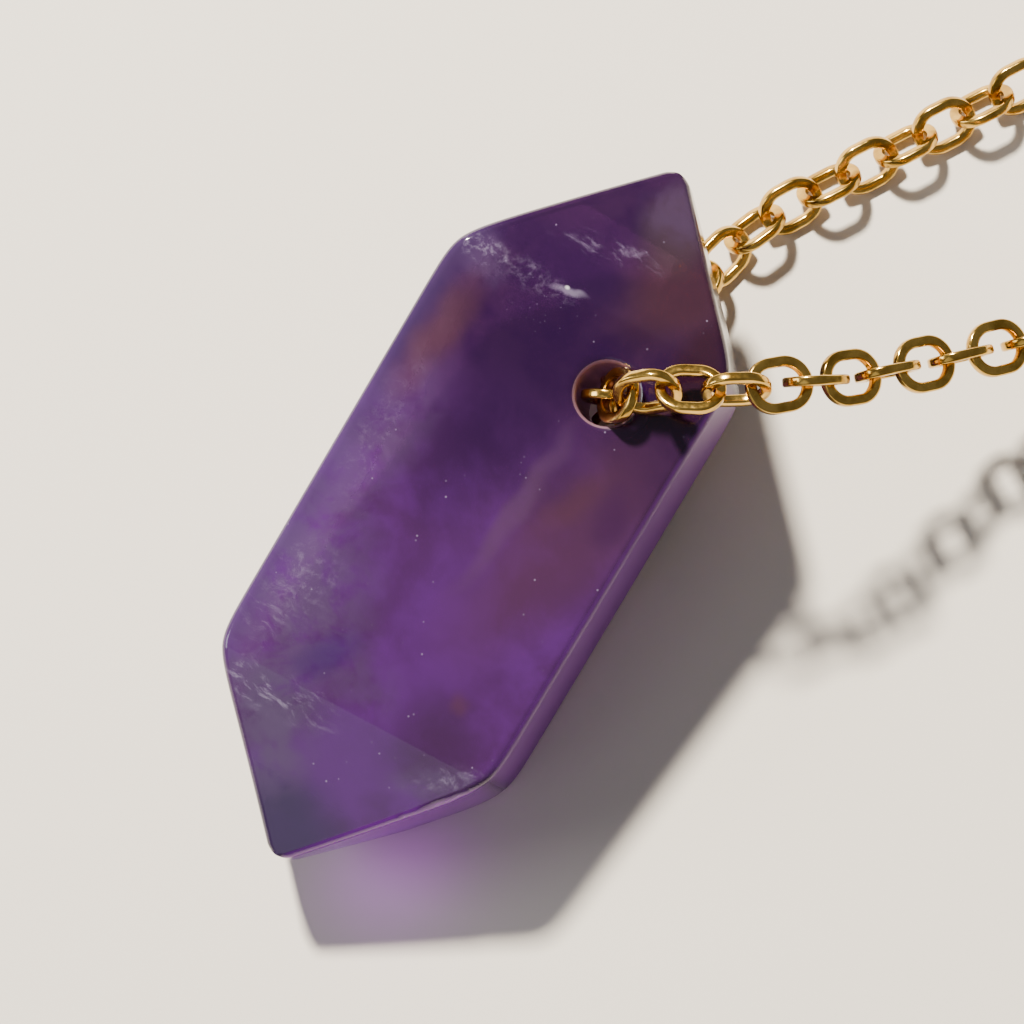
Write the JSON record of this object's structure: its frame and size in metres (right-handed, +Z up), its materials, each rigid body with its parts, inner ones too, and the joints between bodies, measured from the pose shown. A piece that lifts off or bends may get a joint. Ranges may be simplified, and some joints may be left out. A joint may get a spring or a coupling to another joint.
{
  "type": "crystal point pendant necklace",
  "caption": "Flat six-sided stone point, pointed at both ends, threaded through a drilled hole on a fine gilt cable chain, lying as it was put down.",
  "frame": {"origin": "on the table under the middle of the box of the whole lying necklace", "axes": "+Z up from the table, +X along the loop from the stone to the clasp, +Y to the side that the strand from under the stone runs on"},
  "size_m": [0.2114, 0.0768, 0.0123],
  "materials": {
    "purple_stone": "polished",
    "gilt_chain": "gloss",
    "gilt_clasp": "gloss"
  },
  "bodies": {
    "root": {"crystal_point": "purple_stone", "chain_front": "gilt_chain", "chain_back": "gilt_chain", "clasp": "gilt_clasp"}
  },
  "joints": []
}
